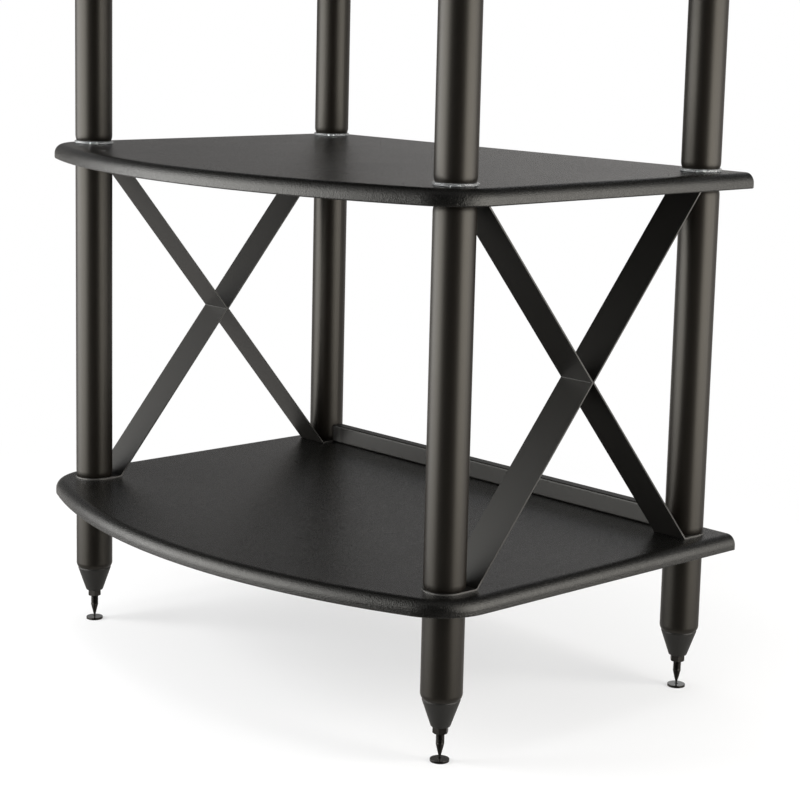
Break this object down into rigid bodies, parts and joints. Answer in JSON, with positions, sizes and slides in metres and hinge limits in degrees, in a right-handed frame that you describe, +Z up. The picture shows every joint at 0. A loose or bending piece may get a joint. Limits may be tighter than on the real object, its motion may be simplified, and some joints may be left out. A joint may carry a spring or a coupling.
{
  "type": "record player stand",
  "caption": "Stand for a record player: bow-fronted dark boards on round tube posts, with folded cross braces, a record stop bar and levelling spike feet on floor discs.",
  "frame": {"origin": "centre of the bounding box's base, on the floor", "axes": "+Z up, bowed front towards -Y, +X to the right seen from the front"},
  "size_m": [0.622, 0.46, 0.7275],
  "materials": {
    "shelf_wrap": "board wrapped in fine-grained charcoal vinyl",
    "post_coat": "satin metallic gunmetal powder coat",
    "strip_coat": "satin dark grey powder coat",
    "cone_coat": "matt dark grey",
    "black_steel": "blackened turned steel",
    "plug_aluminium": "turned",
    "plated_steel": "zinc plated",
    "clear_washer": "clear moulded"
  },
  "bodies": {
    "stand": {"bottom_shelf": "shelf_wrap", "middle_shelf": "shelf_wrap", "top_shelf": "shelf_wrap", "leg_front_left": "post_coat", "lower_post_front_left": "post_coat", "upper_post_front_left": "post_coat", "brace_front_left": "strip_coat", "foot_cone_front_left": "cone_coat", "leg_front_right": "post_coat", "lower_post_front_right": "post_coat", "upper_post_front_right": "post_coat", "brace_front_right": "strip_coat", "foot_cone_front_right": "cone_coat", "leg_rear_left": "post_coat", "lower_post_rear_left": "post_coat", "upper_post_rear_left": "post_coat", "brace_rear_left": "strip_coat", "foot_cone_rear_left": "cone_coat", "leg_rear_right": "post_coat", "lower_post_rear_right": "post_coat", "upper_post_rear_right": "post_coat", "brace_rear_right": "strip_coat", "foot_cone_rear_right": "cone_coat", "record_stop_bar": "strip_coat", "record_stop_screws": "black_steel", "leg_plugs": "plug_aluminium", "lower_post_plugs": "plug_aluminium", "upper_post_plugs": "plug_aluminium", "bottom_shelf_studs": "plated_steel", "middle_shelf_studs": "plated_steel", "top_shelf_studs": "plated_steel", "top_shelf_blind_nuts": "plated_steel", "middle_shelf_washers": "clear_washer", "top_shelf_washers": "clear_washer"},
    "floor_disc_front_left": {"floor_disc_front_left": "black_steel"},
    "spike_front_left": {"spike_front_left": "black_steel"},
    "lock_nut_front_left": {"lock_nut_front_left": "black_steel"},
    "floor_disc_front_right": {"floor_disc_front_right": "black_steel"},
    "spike_front_right": {"spike_front_right": "black_steel"},
    "lock_nut_front_right": {"lock_nut_front_right": "black_steel"},
    "floor_disc_rear_left": {"floor_disc_rear_left": "black_steel"},
    "spike_rear_left": {"spike_rear_left": "black_steel"},
    "lock_nut_rear_left": {"lock_nut_rear_left": "black_steel"},
    "floor_disc_rear_right": {"floor_disc_rear_right": "black_steel"},
    "spike_rear_right": {"spike_rear_right": "black_steel"},
    "lock_nut_rear_right": {"lock_nut_rear_right": "black_steel"}
  },
  "joints": [
    {"name": "foot_height_front_left", "type": "slide", "parent": "stand", "child": "floor_disc_front_left", "axis": [0, 0, 1], "range_m": [-0.01, 0.008]},
    {"name": "spike_turn_front_left", "type": "hinge", "parent": "floor_disc_front_left", "child": "spike_front_left", "pos_m": [-0.271, -0.126, 0], "axis": [0, 0, 1], "range_deg": [-2882, 2306]},
    {"name": "lock_nut_turn_front_left", "type": "hinge", "parent": "stand", "child": "lock_nut_front_left", "pos_m": [-0.271, -0.126, 0.0263], "axis": [0, 0, 1], "range_deg": [-360, 0]},
    {"name": "foot_height_front_right", "type": "slide", "parent": "stand", "child": "floor_disc_front_right", "axis": [0, 0, 1], "range_m": [-0.01, 0.008]},
    {"name": "spike_turn_front_right", "type": "hinge", "parent": "floor_disc_front_right", "child": "spike_front_right", "pos_m": [0.271, -0.126, 0], "axis": [0, 0, 1], "range_deg": [-2882, 2306]},
    {"name": "lock_nut_turn_front_right", "type": "hinge", "parent": "stand", "child": "lock_nut_front_right", "pos_m": [0.271, -0.126, 0.0263], "axis": [0, 0, 1], "range_deg": [-360, 0]},
    {"name": "foot_height_rear_left", "type": "slide", "parent": "stand", "child": "floor_disc_rear_left", "axis": [0, 0, 1], "range_m": [-0.01, 0.008]},
    {"name": "spike_turn_rear_left", "type": "hinge", "parent": "floor_disc_rear_left", "child": "spike_rear_left", "pos_m": [-0.271, 0.199, 0], "axis": [0, 0, 1], "range_deg": [-2882, 2306]},
    {"name": "lock_nut_turn_rear_left", "type": "hinge", "parent": "stand", "child": "lock_nut_rear_left", "pos_m": [-0.271, 0.199, 0.0263], "axis": [0, 0, 1], "range_deg": [-360, 0]},
    {"name": "foot_height_rear_right", "type": "slide", "parent": "stand", "child": "floor_disc_rear_right", "axis": [0, 0, 1], "range_m": [-0.01, 0.008]},
    {"name": "spike_turn_rear_right", "type": "hinge", "parent": "floor_disc_rear_right", "child": "spike_rear_right", "pos_m": [0.271, 0.199, 0], "axis": [0, 0, 1], "range_deg": [-2882, 2306]},
    {"name": "lock_nut_turn_rear_right", "type": "hinge", "parent": "stand", "child": "lock_nut_rear_right", "pos_m": [0.271, 0.199, 0.0263], "axis": [0, 0, 1], "range_deg": [-360, 0]}
  ],
  "couplings": [
    {"joint": "spike_turn_front_left", "follows": "foot_height_front_left", "rad_per_m": 5026.5},
    {"joint": "spike_turn_front_right", "follows": "foot_height_front_right", "rad_per_m": 5026.5},
    {"joint": "spike_turn_rear_left", "follows": "foot_height_rear_left", "rad_per_m": 5026.5},
    {"joint": "spike_turn_rear_right", "follows": "foot_height_rear_right", "rad_per_m": 5026.5}
  ]
}
